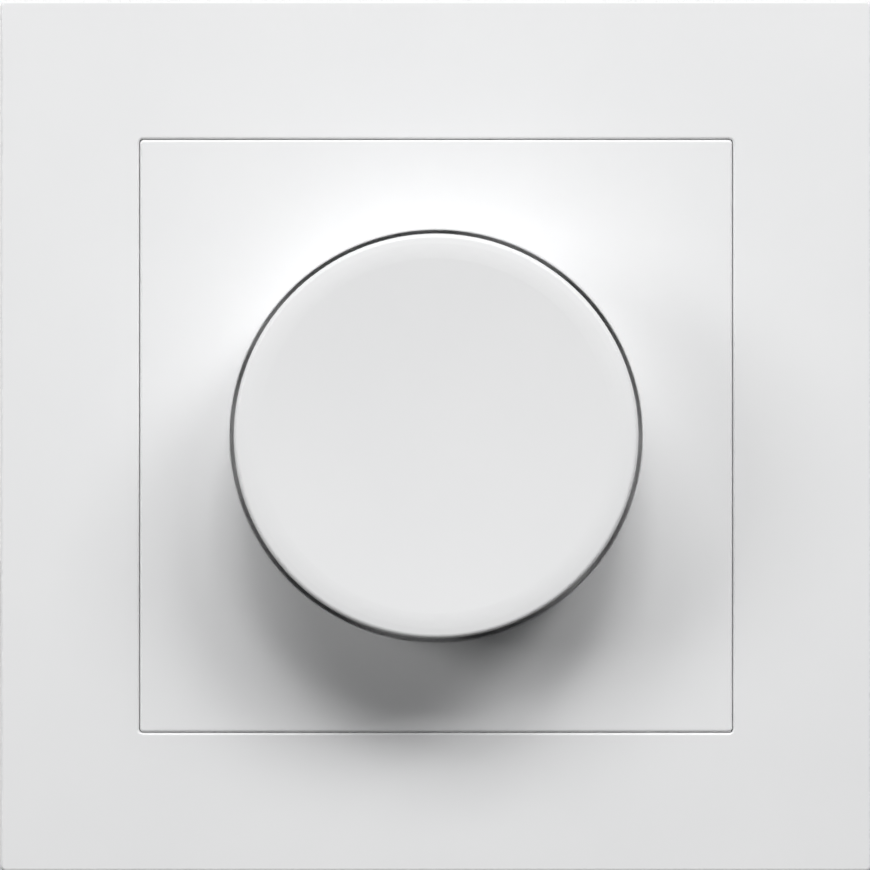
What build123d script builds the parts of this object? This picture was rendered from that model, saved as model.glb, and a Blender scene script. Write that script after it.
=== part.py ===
from build123d import *
import os

os.makedirs("parts", exist_ok=True)

# A flush-mounted rotary dimmer for a 60 mm wall box: a square cover frame, a square centre
# plate with a round well, and a large push-and-turn knob in the well. Behind them are the
# support ring, the heat plate, the cup with its circuit, the terminals and the wall claws.
#
# Origin on the wall, on the knob's axis. +Z up, +X right, -Y out into the room.
# A height is measured from the wall towards the room, so it is negative inside the wall box.

# Clearances
running_gap = 0.05
seat_gap = 0.05
loose_gap = 0.3

# Cover frame
frame_side = 81.0
frame_height = 10.0
frame_wall = 2.0
frame_face = 2.0
frame_edge = 0.35
frame_corner = 0.6
frame_rib = 1.2
frame_rib_pitch = 20.0
collar_wall = 1.4
ledge_height = 4.6
ledge_thickness = 1.2
ledge_width = 1.5

# Centre plate
plate_side = 55.0
plate_gap = 0.06
plate_face = 1.8
plate_skirt = 1.4
plate_corner = 0.35
plate_edge = 0.25
plate_rib = 1.2
well_wall = 1.4
well_floor = 1.6
well_edge = 0.2

# Knob
knob_diameter = 37.2
knob_rise = 13.0
knob_sink = 1.9
knob_gap = 0.55
knob_wall = 1.7
knob_face = 1.8
knob_dish = 0.7
knob_crown = 1.6
knob_crown_drop = 0.15
knob_crown_blend = 8.0
knob_rim = 0.4
knob_rib = 1.2
knob_rib_depth = 2.2
knob_rib_count = 6
push_travel = 1.2
push_room = 0.4
hub_radius = 4.0
hub_room = 0.6
hub_slot = 0.8
hub_slot_length = 5.0
hub_clip_wall = 0.5
hub_clip_length = 3.0
hub_clip_inset = 1.2
hub_clip_mouth = 2.0

# Shaft, its bush and the nuts on the bush
bush_radius = 5.0
bush_end = 1.1
bush_flange = 1.0
bush_chamfer = 0.3
shaft_radius = 3.0
shaft_recess = 0.6
stem_radius = 2.0
stem_flat = 1.4
stem_end_gap = 0.3
drive_radius = 2.4
drive_flat = 1.7
groove_radius = 1.8
shaft_clip_radius = 4.2
shaft_clip_thickness = 0.8
shaft_tip_radius = 1.2
shaft_tip = 0.7
plate_nut_across = 14.0
plate_nut_height = 2.4
plate_nut_washer = 16.0
plate_nut_washer_height = 0.7
bush_nut_across = 13.0
bush_nut_height = 2.0
nut_corner = 0.9
nut_taper = 18.0

# Support ring
ring_margin = 3.0
ring_thickness = 1.2
ring_corner = 6.0
ring_window = 27.0
ring_window_corner = 2.0
ring_lip = 1.0
ring_lip_height = 1.2
box_screw_spacing = 60.0
box_slot_width = 3.4
box_slot_length = 6.4

# Cup and heat plate
cup_width = 45.0
cup_height = 49.0
cup_radius = 28.5
cup_wall = 1.6
cup_edge = 0.8
recess_depth = 2.0
recess_height = 17.2
heat_thickness = 1.5
chassis_screw_offset = 17.5
chassis_screw_radius = 1.2
chassis_head_radius = 2.2
chassis_head_height = 1.5
chassis_head_edge = 0.5
chassis_screw_length = 14.5
boss_wall = 1.45

# Potentiometer
case_radius = 8.5
case_wall = 0.8
rotor_radius = 6.6
rotor_thickness = 1.1
rotor_hub_radius = 3.0
rotor_room = 0.25
wiper_length = 0.4
wiper_side = 1.2
track_thickness = 0.7
track_margin = 0.3
lead_block_width = 9.0
lead_block_depth = 1.6
lead_width = 0.8
lead_thickness = 0.5
lead_pitch = 3.0

# Push switch
switch_side = 15.0
switch_height = 6.7
switch_wall = 0.9
switch_floor = 0.8
plunger_thickness = 1.05
plunger_length = 12.0
plunger_width = 6.0
plunger_stem_radius = 1.3
plunger_stem = 3.5
guide_wall = 0.4
guide_height = 1.2
spring_radius = 2.1
spring_wire = 0.4
spring_turns = 4
contact_width = 3.0
contact_thickness = 0.4
contact_height = 2.6
contact_offset = 5.4
contact_tab = 2.0

# Circuit board and what stands on it
board_thickness = 1.6
board_gap = 0.3
solder_room = 0.9
post_radius = 1.3
choke_height = 5.0
choke_turns = 14
choke_wire = 0.7
choke_margin = 0.35
film_width = 6.0
film_length = 11.0
film_height = 11.0
film_centre_x = -11.3
film_edge_gap = 2.0
film_corner = 0.4
can_radius = 3.2
can_height = 9.0
can_edge = 0.4
can_centre_x = -13.4
can_gap = 2.4
chip_width = 6.0
chip_length = 9.6
chip_height = 3.3
chip_stand = 0.8
chip_leg = 0.5
chip_leg_pitch = 2.54
chip_centre_x = 10.7
chip_edge_gap = 2.4
transistor_width = 6.6
transistor_length = 7.0
transistor_thickness = 2.3
transistor_centre_x = 6.5
transistor_centre_z = -14.0
transistor_lead = 0.7
transistor_lead_pitch = 2.3
transistor_lead_reach = 1.8
fuse_radius = 2.6
fuse_length = 20.0
fuse_cap = 5.0
fuse_cap_wall = 0.15
fuse_bore = 2.0
fuse_centre_x = 13.8
fuse_gap = 0.3
fuse_lift = 0.8
clip_wall = 0.5
clip_length = 3.6
clip_mouth = 3.6
clip_foot_width = 3.0
trimmer_side = 6.4
trimmer_height = 4.0
trimmer_floor = 1.0
trimmer_centre_x = -11.2
trimmer_centre_z = -5.8
dial_radius = 2.2
dial_stem_radius = 1.5
dial_sink = 0.6
dial_slot = 0.5

# Terminals
terminal_pitch = 11.0
terminal_count = 3
terminal_room = 6.3
chamber_width = 8.0
chamber_length = 11.0
cage_width = 6.4
cage_depth = 4.6
cage_side = 0.7
cage_top = 0.8
cage_foot = 1.3
cage_travel = 2.0
wire_entry = 3.3
wire_funnel = 0.5
wire_room = 0.15
tongue_width = 4.2
tongue_thickness = 0.9
tongue_proud = 0.2
terminal_screw_radius = 1.5
terminal_head_radius = 2.3
terminal_head_height = 1.35
access_gap = 0.3

# Wall claws
claw_screw_x = 23.5
claw_screw_radius = 1.5
claw_head_radius = 2.5
claw_head_height = 1.7
claw_screw_length = 19.5
claw_nut_height = 2.4
claw_nut_width = 6.4
claw_nut_depth = 5.4
claw_nut_back = -16.6
claw_thickness = 1.5
claw_half_width = 6.0
claw_prong = 3.9
claw_leg_x = 28.4
claw_leg_back = -20.5
claw_tooth = 0.8
claw_tooth_count = 3
claw_tooth_pitch = 2.0
claw_tooth_land = 0.2
claw_bend = 1.0
seat_step = 0.3
lug_step = 1.5
slot_room = 0.15
claw_outward = 3.5
claw_forward = 5.25
ramp_inner_z = 4.2
ramp_height = 4.4
ramp_front = -2.0
slot_width = 0.7
slot_depth = 0.7

# Heights and sizes that follow
plate_front = frame_height
opening_side = plate_side + 2 * plate_gap
collar_side = opening_side + 2 * collar_wall
ledge_back = ledge_height - ledge_thickness
frame_inside = frame_side - 2 * frame_wall
frame_ceiling = frame_height - frame_face
ring_side = frame_inside - 2 * ring_margin
plate_inside = plate_side - 2 * plate_skirt
plate_ceiling = plate_front - plate_face

knob_radius = knob_diameter / 2
knob_back = plate_front - knob_sink
knob_front = plate_front + knob_rise
knob_ceiling = knob_front - knob_dish - knob_face
well_radius = knob_radius + knob_gap
well_bottom = knob_back - push_travel - push_room
well_back = well_bottom - well_floor

bush_top = well_bottom + plate_nut_height + bush_end
hub_back = bush_top + push_travel + hub_room
stem_top = knob_ceiling - stem_end_gap
heat_back = -heat_thickness
flange_back = heat_back - bush_flange
shaft_clip_front = flange_back - seat_gap
shaft_clip_back = shaft_clip_front - shaft_clip_thickness
rotor_front = shaft_clip_back - push_travel - rotor_room
rotor_back = rotor_front - rotor_thickness
track_front = rotor_back - wiper_length
track_back = track_front - track_thickness
case_back = track_back - case_wall
board_front = case_back - switch_height
board_back = board_front - board_thickness
cup_floor = board_back - solder_room
cup_back = cup_floor - cup_wall
chamber_floor = board_back - terminal_room
terminal_back = chamber_floor - cup_wall

boss_radius = chassis_screw_radius + running_gap + boss_wall
recess_x = cup_width / 2 - recess_depth
chamber_bottom_z = -cup_height / 2 + cup_wall
chamber_top_z = chamber_bottom_z + chamber_length
chamber_centre_z = (chamber_bottom_z + chamber_top_z) / 2
board_top_z = cup_height / 2 - cup_wall - board_gap
choke_radius = (board_top_z - case_radius) / 2 - choke_wire - choke_margin
choke_bore = choke_radius / 2
choke_centre_z = (board_top_z + case_radius) / 2
film_centre_z = board_top_z - film_edge_gap - film_length / 2
can_centre_z = film_centre_z - film_length / 2 - can_gap - can_radius
chip_centre_z = board_top_z - chip_edge_gap - chip_length / 2
fuse_end_z = chip_centre_z - chip_length / 2 - fuse_gap
fuse_centre_z = fuse_end_z - fuse_cap_wall - fuse_length / 2
terminal_xs = [terminal_pitch * (i - (terminal_count - 1) / 2) for i in range(terminal_count)]
chassis_spots = [
    (x, z)
    for x in (-chassis_screw_offset, chassis_screw_offset)
    for z in (-chassis_screw_offset, chassis_screw_offset)
]


def room(height):
    """The plane parallel to the wall at a height above it, facing the room."""
    return Plane.XZ.offset(height)


def front_edges(builder):
    """The edges round the outside of the face that is furthest into the room."""
    return builder.faces().sort_by(Axis.Y)[0].outer_wire().edges()


# The plan outline of the cup: a rectangle that fits a round wall box, notched for the claws
with BuildSketch() as cup_plan:
    Circle(cup_radius)
    Rectangle(cup_width, cup_height, mode=Mode.INTERSECT)
    with Locations((-cup_width / 2, 0), (cup_width / 2, 0)):
        Rectangle(2 * recess_depth, recess_height, mode=Mode.SUBTRACT)

with BuildSketch() as cup_cavity_plan:
    add(cup_plan.sketch)
    offset(amount=-cup_wall, kind=Kind.INTERSECTION)

with BuildSketch() as board_plan:
    add(cup_plan.sketch)
    offset(amount=-cup_wall - board_gap, kind=Kind.INTERSECTION)
    with Locations(*chassis_spots):
        Circle(boss_radius + board_gap, mode=Mode.SUBTRACT)

# Cover frame: a moulded shell with a collar and a ledge round its opening
rib_span = (frame_inside - collar_side) / 2
pad_span = ring_margin - loose_gap
with BuildPart() as cover_frame:
    with BuildSketch(room(0)):
        RectangleRounded(frame_side, frame_side, frame_corner)
    extrude(amount=frame_height)
    fillet(front_edges(cover_frame), frame_edge)
    with BuildSketch(room(0)):
        Rectangle(frame_inside, frame_inside)
    extrude(amount=frame_ceiling, mode=Mode.SUBTRACT)
    with BuildSketch(room(ledge_back)):
        Rectangle(collar_side, collar_side)
    extrude(amount=frame_ceiling - ledge_back)
    with BuildSketch(room(ledge_back)):
        Rectangle(opening_side - 2 * ledge_width, opening_side - 2 * ledge_width)
    extrude(amount=frame_height - ledge_back, mode=Mode.SUBTRACT)
    with BuildSketch(room(ledge_height)):
        RectangleRounded(opening_side, opening_side, plate_corner)
    extrude(amount=frame_height - ledge_height, mode=Mode.SUBTRACT)
    opening_edges = cover_frame.faces().sort_by(Axis.Y)[0].inner_wires()[0].edges()
    fillet(opening_edges, plate_edge)
    # Stiffening ribs, and pads that hold the frame square on the support ring
    with BuildSketch(room(ledge_height)):
        with PolarLocations(0, 4):
            with Locations((collar_side / 2 + rib_span / 2, 0)):
                with GridLocations(0, frame_rib_pitch, 1, 3):
                    Rectangle(rib_span, frame_rib)
    extrude(amount=frame_ceiling - ledge_height)
    with BuildSketch(room(loose_gap)):
        with PolarLocations(0, 4):
            with Locations((frame_inside / 2 - pad_span / 2, 0)):
                with GridLocations(0, frame_rib_pitch, 1, 3):
                    Rectangle(pad_span, frame_rib)
    extrude(amount=frame_ceiling - loose_gap)
cover_frame.part.label = "cover_frame"
export_step(cover_frame.part, "parts/cover_frame.step")

# Centre plate: a square shell with a skirt that presses the frame, and a round well
with BuildPart() as centre_plate:
    with BuildSketch(room(ledge_height)):
        RectangleRounded(plate_side, plate_side, plate_corner)
    extrude(amount=plate_front - ledge_height)
    fillet(front_edges(centre_plate), plate_edge)
    with BuildSketch(room(ledge_height)):
        Rectangle(plate_inside, plate_inside)
    extrude(amount=plate_ceiling - ledge_height, mode=Mode.SUBTRACT)
    with BuildSketch(room(well_back)):
        Circle(well_radius + well_wall)
    extrude(amount=plate_ceiling - well_back)
    # Ribs from the well to the skirt, along the sides and into the corners
    with BuildSketch(room(well_bottom)):
        for angle in (0, 90):
            Rectangle(plate_inside, plate_rib, rotation=angle)
        for angle in (45, 135):
            Rectangle(plate_inside * 2**0.5, plate_rib, rotation=angle)
        Circle(well_radius, mode=Mode.SUBTRACT)
    extrude(amount=plate_ceiling - well_bottom)
    with BuildSketch(room(well_bottom)):
        Circle(well_radius)
    extrude(amount=plate_front - well_bottom, mode=Mode.SUBTRACT)
    well_rim = centre_plate.faces().sort_by(Axis.Y)[0].inner_wires()[0].edges()
    fillet(well_rim, well_edge)
    with BuildSketch(room(well_back)):
        Circle(bush_radius + loose_gap)
    extrude(amount=well_floor, mode=Mode.SUBTRACT)
centre_plate.part.label = "centre_plate"
export_step(centre_plate.part, "parts/centre_plate.step")

# Nut that clamps the centre plate on the bush: a hexagon with turned corners, on a washer face
with BuildPart() as plate_nut:
    with BuildSketch(room(well_bottom)):
        RegularPolygon(plate_nut_across / 2, 6, major_radius=False)
    extrude(amount=plate_nut_height)
    with BuildSketch(room(well_bottom)):
        Circle(plate_nut_across / 2 + nut_corner)
    extrude(amount=plate_nut_height, taper=nut_taper, mode=Mode.INTERSECT)
    with BuildSketch(room(well_bottom)):
        Circle(plate_nut_washer / 2)
    extrude(amount=plate_nut_washer_height)
    with BuildSketch(room(well_bottom)):
        Circle(bush_radius + running_gap)
    extrude(amount=plate_nut_height, mode=Mode.SUBTRACT)
plate_nut.part.label = "plate_nut"
export_step(plate_nut.part, "parts/plate_nut.step")

# Knob: a cap with a dished face, a crowned rim and a split hub for the D-shaped stem
crown_start = knob_radius - knob_crown
dish_radius = (crown_start**2 + knob_dish**2) / (2 * knob_dish)
with BuildPart() as knob:
    with BuildSketch(Plane.XY):
        Polygon(
            (0, -knob_back),
            (knob_radius, -knob_back),
            (knob_radius, knob_crown_drop - knob_front),
            (crown_start, -knob_front),
            (0, -knob_front),
            align=None,
        )
    revolve(axis=Axis.Y)
    with Locations((0, knob_dish - knob_front - dish_radius, 0)):
        Sphere(dish_radius, mode=Mode.SUBTRACT)
    rim_circles = knob.edges().filter_by(GeomType.CIRCLE).group_by(SortBy.RADIUS)[-1]
    fillet(rim_circles.sort_by(Axis.Y)[0], knob_rim)
    fillet(knob.edges().group_by(Axis.Y)[0], knob_crown_blend)
    with BuildSketch(room(knob_back)):
        Circle(knob_radius - knob_wall)
    extrude(amount=knob_ceiling - knob_back, mode=Mode.SUBTRACT)
    with BuildSketch(room(hub_back)):
        Circle(hub_radius)
    extrude(amount=knob_ceiling - hub_back)
    with BuildSketch(room(knob_ceiling - knob_rib_depth)):
        with PolarLocations((knob_radius - knob_wall) / 2, knob_rib_count):
            Rectangle(knob_radius - knob_wall, knob_rib)
    extrude(amount=knob_rib_depth)
    with BuildSketch(room(hub_back)):
        Circle(stem_radius + running_gap)
        with Locations((0, stem_flat + running_gap + stem_radius)):
            Rectangle(4 * stem_radius, 2 * stem_radius, mode=Mode.SUBTRACT)
    extrude(amount=knob_ceiling - hub_back, mode=Mode.SUBTRACT)
    with BuildSketch(room(hub_back)):
        Rectangle(4 * hub_radius, hub_slot)
    extrude(amount=hub_slot_length, mode=Mode.SUBTRACT)
knob.part.label = "knob"
export_step(knob.part, "parts/knob.step")

# Spring clip that closes the split hub on the stem
with BuildPart() as hub_clip:
    with BuildSketch(room(hub_back + hub_clip_inset)):
        Circle(hub_radius + running_gap + hub_clip_wall)
        Circle(hub_radius + running_gap, mode=Mode.SUBTRACT)
        with Locations((0, -hub_radius)):
            Rectangle(hub_clip_mouth, 2 * hub_radius, mode=Mode.SUBTRACT)
    extrude(amount=hub_clip_length)
hub_clip.part.label = "hub_clip"
export_step(hub_clip.part, "parts/hub_clip.step")

# Shaft: D-shaped stem, journal, clip groove, double-D drive and tip
with BuildPart() as shaft:
    with BuildSketch(room(bush_top - shaft_recess)):
        Circle(stem_radius)
        with Locations((0, stem_flat + stem_radius)):
            Rectangle(4 * stem_radius, 2 * stem_radius, mode=Mode.SUBTRACT)
    extrude(amount=stem_top - bush_top + shaft_recess)
    with BuildSketch(room(shaft_clip_front)):
        Circle(shaft_radius)
    extrude(amount=bush_top - shaft_recess - shaft_clip_front)
    with BuildSketch(room(shaft_clip_back)):
        Circle(groove_radius)
    extrude(amount=shaft_clip_thickness)
    with BuildSketch(room(case_back)):
        Circle(drive_radius)
        Rectangle(2 * drive_radius, 2 * drive_flat, mode=Mode.INTERSECT)
    extrude(amount=shaft_clip_back - case_back)
    with BuildSketch(room(case_back - shaft_tip)):
        Circle(shaft_tip_radius)
    extrude(amount=shaft_tip)
shaft.part.label = "shaft"
export_step(shaft.part, "parts/shaft.step")

# Clip in the groove that keeps the shaft from pulling out
with BuildPart() as shaft_clip:
    with BuildSketch(room(shaft_clip_back)):
        Circle(shaft_clip_radius)
        Circle(groove_radius + running_gap, mode=Mode.SUBTRACT)
        with Locations((0, -shaft_clip_radius)):
            Rectangle(2 * groove_radius, 2 * shaft_clip_radius, mode=Mode.SUBTRACT)
    extrude(amount=shaft_clip_thickness)
shaft_clip.part.label = "shaft_clip"
export_step(shaft_clip.part, "parts/shaft_clip.step")

# Support ring: pressed steel, with a turned-up lip round its window
with BuildPart() as support_ring:
    with BuildSketch(room(0)):
        RectangleRounded(ring_side, ring_side, ring_corner)
    extrude(amount=ring_thickness)
    with BuildSketch(room(ring_thickness)):
        lip_side = ring_window + 2 * ring_lip
        RectangleRounded(lip_side, lip_side, ring_window_corner + ring_lip)
    extrude(amount=ring_lip_height)
    with BuildSketch(room(0)):
        RectangleRounded(ring_window, ring_window, ring_window_corner)
    extrude(amount=ring_thickness + ring_lip_height, mode=Mode.SUBTRACT)
    with BuildSketch(room(0)):
        with PolarLocations(box_screw_spacing / 2, 4):
            SlotOverall(box_slot_length, box_slot_width)
        with Locations(*chassis_spots):
            Circle(chassis_screw_radius + loose_gap)
        with Locations((-claw_screw_x, 0), (claw_screw_x, 0)):
            Circle(claw_screw_radius + loose_gap)
    extrude(amount=ring_thickness, mode=Mode.SUBTRACT)
support_ring.part.label = "support_ring"
export_step(support_ring.part, "parts/support_ring.step")

# Heat plate: aluminium lid of the cup
with BuildPart() as heat_plate:
    with BuildSketch(room(heat_back)):
        add(cup_plan.sketch)
        Circle(bush_radius + running_gap, mode=Mode.SUBTRACT)
        with Locations(*chassis_spots):
            Circle(chassis_screw_radius + loose_gap, mode=Mode.SUBTRACT)
        with Locations((trimmer_centre_x, trimmer_centre_z)):
            Circle(dial_stem_radius + loose_gap, mode=Mode.SUBTRACT)
    extrude(amount=heat_thickness)
heat_plate.part.label = "heat_plate"
export_step(heat_plate.part, "parts/heat_plate.step")

# Rear cup: the moulded body in the wall box
claw_front = claw_nut_back + claw_nut_height + seat_gap + claw_thickness
ramp_foot = claw_front - lug_step * claw_forward / claw_outward + 2 * seat_gap
ramp_rise = ramp_height * claw_forward / claw_outward
entry_z = chamber_top_z - seat_gap - cage_top - wire_room - wire_entry / 2
tongue_z = entry_z - wire_entry / 2 - wire_room - tongue_thickness / 2
cage_back = chamber_floor + (cup_floor - chamber_floor - cage_depth) / 2
cage_middle = cage_back + cage_depth / 2
screw_end = ring_thickness - chassis_screw_length - loose_gap
with BuildPart() as rear_cup:
    with BuildSketch(room(cup_back)):
        add(cup_plan.sketch)
    extrude(amount=heat_back - cup_back)
    with BuildSketch(room(terminal_back)):
        add(cup_plan.sketch)
        with Locations((0, chamber_top_z + cup_wall + cup_height / 2)):
            Rectangle(2 * cup_width, cup_height, mode=Mode.SUBTRACT)
    extrude(amount=cup_back - terminal_back)
    fillet(rear_cup.faces().sort_by(Axis.Y)[-1].edges(), cup_edge)
    cup_back_face = rear_cup.faces().filter_by(Axis.Y).sort_by(Axis.Y)[-2]
    fillet(cup_back_face.edges().filter_by(lambda e: e.center().Z > chamber_top_z + 2 * cup_wall), cup_edge)
    with BuildSketch(room(cup_floor)):
        add(cup_cavity_plan.sketch)
        with Locations(*chassis_spots):
            Circle(boss_radius, mode=Mode.SUBTRACT)
    extrude(amount=heat_back - cup_floor, mode=Mode.SUBTRACT)
    # Posts that carry the circuit board
    with BuildSketch(room(cup_floor)):
        with Locations((0, cup_height / 2 - cup_wall - 2 * post_radius)):
            with GridLocations(2 * terminal_pitch, 0, 2, 1):
                Circle(post_radius)
        with Locations((0, chamber_centre_z)):
            with GridLocations(terminal_pitch, 0, 2, 1):
                Circle(post_radius)
    extrude(amount=solder_room)
    # Terminal chambers with square wire entries and round screwdriver holes
    with BuildSketch(room(chamber_floor)):
        with Locations(*[(x, chamber_centre_z) for x in terminal_xs]):
            Rectangle(chamber_width, chamber_length)
    extrude(amount=cup_floor - chamber_floor, mode=Mode.SUBTRACT)
    with BuildSketch(room(terminal_back)):
        with Locations(*[(x, entry_z) for x in terminal_xs]):
            Rectangle(wire_entry, wire_entry)
    extrude(amount=cup_wall, mode=Mode.SUBTRACT)
    entry_edges = rear_cup.faces().sort_by(Axis.Y)[-1].inner_wires()
    chamfer([edge for wire in entry_edges for edge in wire.edges()], wire_funnel)
    with BuildSketch(Plane.XY.offset(-cup_height / 2)):
        with Locations(*[(x, -cage_middle) for x in terminal_xs]):
            Circle(terminal_head_radius + access_gap)
    extrude(amount=cup_wall, mode=Mode.SUBTRACT)
    # Screw holes in the corner bosses
    with BuildSketch(room(screw_end)):
        with Locations(*chassis_spots):
            Circle(chassis_screw_radius + running_gap)
    extrude(amount=heat_back - screw_end, mode=Mode.SUBTRACT)
    # Ramps that spread the claws
    for side in (-1, 1):
        for low_z in (-recess_height / 2, ramp_inner_z):
            with BuildSketch(Plane.XY.offset(low_z)):
                with BuildLine():
                    Polyline(
                        (side * recess_x, -ramp_foot),
                        (side * recess_x, -ramp_front),
                        (side * (recess_x + ramp_height), -ramp_front),
                        (side * (recess_x + ramp_height), -(ramp_foot + ramp_rise)),
                        close=True,
                    )
                make_face()
            extrude(amount=recess_height / 2 - ramp_inner_z)
rear_cup.part.label = "rear_cup"
export_step(rear_cup.part, "parts/rear_cup.step")

# Bush: threaded sleeve with a flange that seats behind the heat plate
with BuildPart() as bush:
    with BuildSketch(room(flange_back)):
        Circle(bush_radius)
    extrude(amount=bush_top - flange_back)
    with BuildSketch(room(flange_back)):
        Circle(case_radius)
    extrude(amount=bush_flange)
    with BuildSketch(room(flange_back)):
        Circle(shaft_radius + running_gap)
    extrude(amount=bush_top - flange_back, mode=Mode.SUBTRACT)
    chamfer(front_edges(bush), bush_chamfer)
bush.part.label = "bush"
export_step(bush.part, "parts/bush.step")

# Nut that clamps the bush on the heat plate
with BuildPart() as bush_nut:
    with BuildSketch(room(0)):
        RegularPolygon(bush_nut_across / 2, 6, major_radius=False)
        Circle(bush_radius + running_gap, mode=Mode.SUBTRACT)
    extrude(amount=bush_nut_height)
    with BuildSketch(room(0)):
        Circle(bush_nut_across / 2 + nut_corner)
    extrude(amount=bush_nut_height, taper=nut_taper, mode=Mode.INTERSECT)
bush_nut.part.label = "bush_nut"
export_step(bush_nut.part, "parts/bush_nut.step")

# Potentiometer case, with the block that carries its leads
block_z = -(case_radius + lead_block_depth / 2)
block_front = (case_back + flange_back) / 2
lead_z = -(case_radius + lead_block_depth / 2 + lead_thickness / 2)
lead_xs = [-lead_pitch, 0, lead_pitch]
with BuildPart() as potentiometer_case:
    with BuildSketch(room(case_back)):
        Circle(case_radius)
    extrude(amount=flange_back - case_back)
    with BuildSketch(room(case_back)):
        with Locations((0, block_z + lead_block_depth / 2)):
            Rectangle(lead_block_width, 2 * lead_block_depth)
    extrude(amount=block_front - case_back)
    with BuildSketch(room(case_back + case_wall)):
        Circle(case_radius - case_wall)
    extrude(amount=flange_back - case_back - case_wall, mode=Mode.SUBTRACT)
    with BuildSketch(room(case_back)):
        Circle(rotor_hub_radius + running_gap)
    extrude(amount=case_wall, mode=Mode.SUBTRACT)
potentiometer_case.part.label = "potentiometer_case"
export_step(potentiometer_case.part, "parts/potentiometer_case.step")

# Leads from the block to the circuit board
with BuildPart() as potentiometer_leads:
    with BuildSketch(room(board_front)):
        with Locations(*[(x, lead_z) for x in lead_xs]):
            Rectangle(lead_width, lead_thickness)
    extrude(amount=case_back - board_front)
potentiometer_leads.part.label = "potentiometer_leads"
export_step(potentiometer_leads.part, "parts/potentiometer_leads.step")

# Resistor track: a disc on the bottom of the case
with BuildPart() as resistor_track:
    with BuildSketch(room(track_back)):
        Circle(case_radius - case_wall - track_margin)
        Circle(rotor_hub_radius + track_margin, mode=Mode.SUBTRACT)
    extrude(amount=track_thickness)
resistor_track.part.label = "resistor_track"
export_step(resistor_track.part, "parts/resistor_track.step")

# Rotor: the disc that the shaft turns, with two wipers on the track
wiper_ring = (case_radius - case_wall + rotor_hub_radius) / 2
with BuildPart() as wiper_rotor:
    with BuildSketch(room(rotor_back)):
        Circle(rotor_radius)
    extrude(amount=rotor_thickness)
    with BuildSketch(room(case_back + seat_gap)):
        Circle(rotor_hub_radius)
    extrude(amount=rotor_back - case_back - seat_gap)
    with BuildSketch(room(track_front + seat_gap)):
        with PolarLocations(wiper_ring, 2):
            Rectangle(wiper_side, wiper_side)
    extrude(amount=wiper_length - seat_gap)
    with BuildSketch(room(case_back)):
        Circle(drive_radius + running_gap)
        Rectangle(4 * drive_radius, 2 * (drive_flat + running_gap), mode=Mode.INTERSECT)
    extrude(amount=rotor_front - case_back, mode=Mode.SUBTRACT)
wiper_rotor.part.label = "wiper_rotor"
export_step(wiper_rotor.part, "parts/wiper_rotor.step")

# Push switch: a square case that closes on the potentiometer, with a guide for the plunger
switch_bottom = board_front + switch_floor
plunger_front = case_back - shaft_tip - seat_gap
plunger_back = plunger_front - plunger_thickness
with BuildPart() as switch_case:
    with BuildSketch(room(board_front)):
        Rectangle(switch_side, switch_side)
    extrude(amount=switch_height)
    with BuildSketch(room(switch_bottom)):
        Rectangle(switch_side - 2 * switch_wall, switch_side - 2 * switch_wall)
    extrude(amount=switch_height - switch_floor, mode=Mode.SUBTRACT)
    with BuildSketch(room(switch_bottom)):
        Circle(plunger_stem_radius + running_gap + guide_wall)
    extrude(amount=guide_height)
    with BuildSketch(room(board_front)):
        Circle(plunger_stem_radius + running_gap)
    extrude(amount=switch_floor + guide_height, mode=Mode.SUBTRACT)
switch_case.part.label = "switch_case"
export_step(switch_case.part, "parts/switch_case.step")

# Plunger that the shaft pushes on to the contacts
with BuildPart() as switch_plunger:
    with BuildSketch(room(plunger_back)):
        Rectangle(plunger_length, plunger_width)
    extrude(amount=plunger_thickness)
    with BuildSketch(room(plunger_back - plunger_stem)):
        Circle(plunger_stem_radius)
    extrude(amount=plunger_stem)
switch_plunger.part.label = "switch_plunger"
export_step(switch_plunger.part, "parts/switch_plunger.step")

# Return spring round the guide, between the switch floor and the plunger
spring_height = plunger_back - switch_bottom
spring_pitch = (spring_height - spring_wire) / spring_turns
with BuildPart() as return_spring:
    with BuildLine():
        spring_line = Helix(
            pitch=spring_pitch,
            height=spring_height - spring_wire,
            radius=spring_radius,
            center=(0, -(switch_bottom + spring_wire / 2), 0),
            direction=(0, -1, 0),
        )
    with BuildSketch(Plane(origin=spring_line @ 0, z_dir=spring_line % 0)):
        RegularPolygon(spring_wire / 2, 6)
    sweep(path=spring_line, is_frenet=True)
return_spring.part.label = "return_spring"
export_step(return_spring.part, "parts/return_spring.step")

# Contacts: two bent strips under the ends of the plunger
with BuildPart() as switch_contacts:
    with BuildSketch(room(switch_bottom)):
        with Locations((-contact_offset, 0), (contact_offset, 0)):
            Rectangle(contact_thickness, contact_width)
    extrude(amount=contact_height)
    tab_centre = contact_offset - contact_tab / 2
    with BuildSketch(room(switch_bottom + contact_height - contact_thickness)):
        with Locations((-tab_centre, 0), (tab_centre, 0)):
            Rectangle(contact_tab, contact_width)
    extrude(amount=contact_thickness)
switch_contacts.part.label = "switch_contacts"
export_step(switch_contacts.part, "parts/switch_contacts.step")

# Circuit board
with BuildPart() as circuit_board:
    with BuildSketch(room(board_back)):
        add(board_plan.sketch)
    extrude(amount=board_thickness)
circuit_board.part.label = "circuit_board"
export_step(circuit_board.part, "parts/circuit_board.step")

# Choke: a ferrite ring with wire loops round it
choke_back = board_front + choke_wire
with BuildPart() as choke_core:
    with BuildSketch(room(choke_back)):
        with Locations((0, choke_centre_z)):
            Circle(choke_radius)
            Circle(choke_bore, mode=Mode.SUBTRACT)
    extrude(amount=choke_height)
choke_core.part.label = "choke_core"
export_step(choke_core.part, "parts/choke_core.step")

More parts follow.
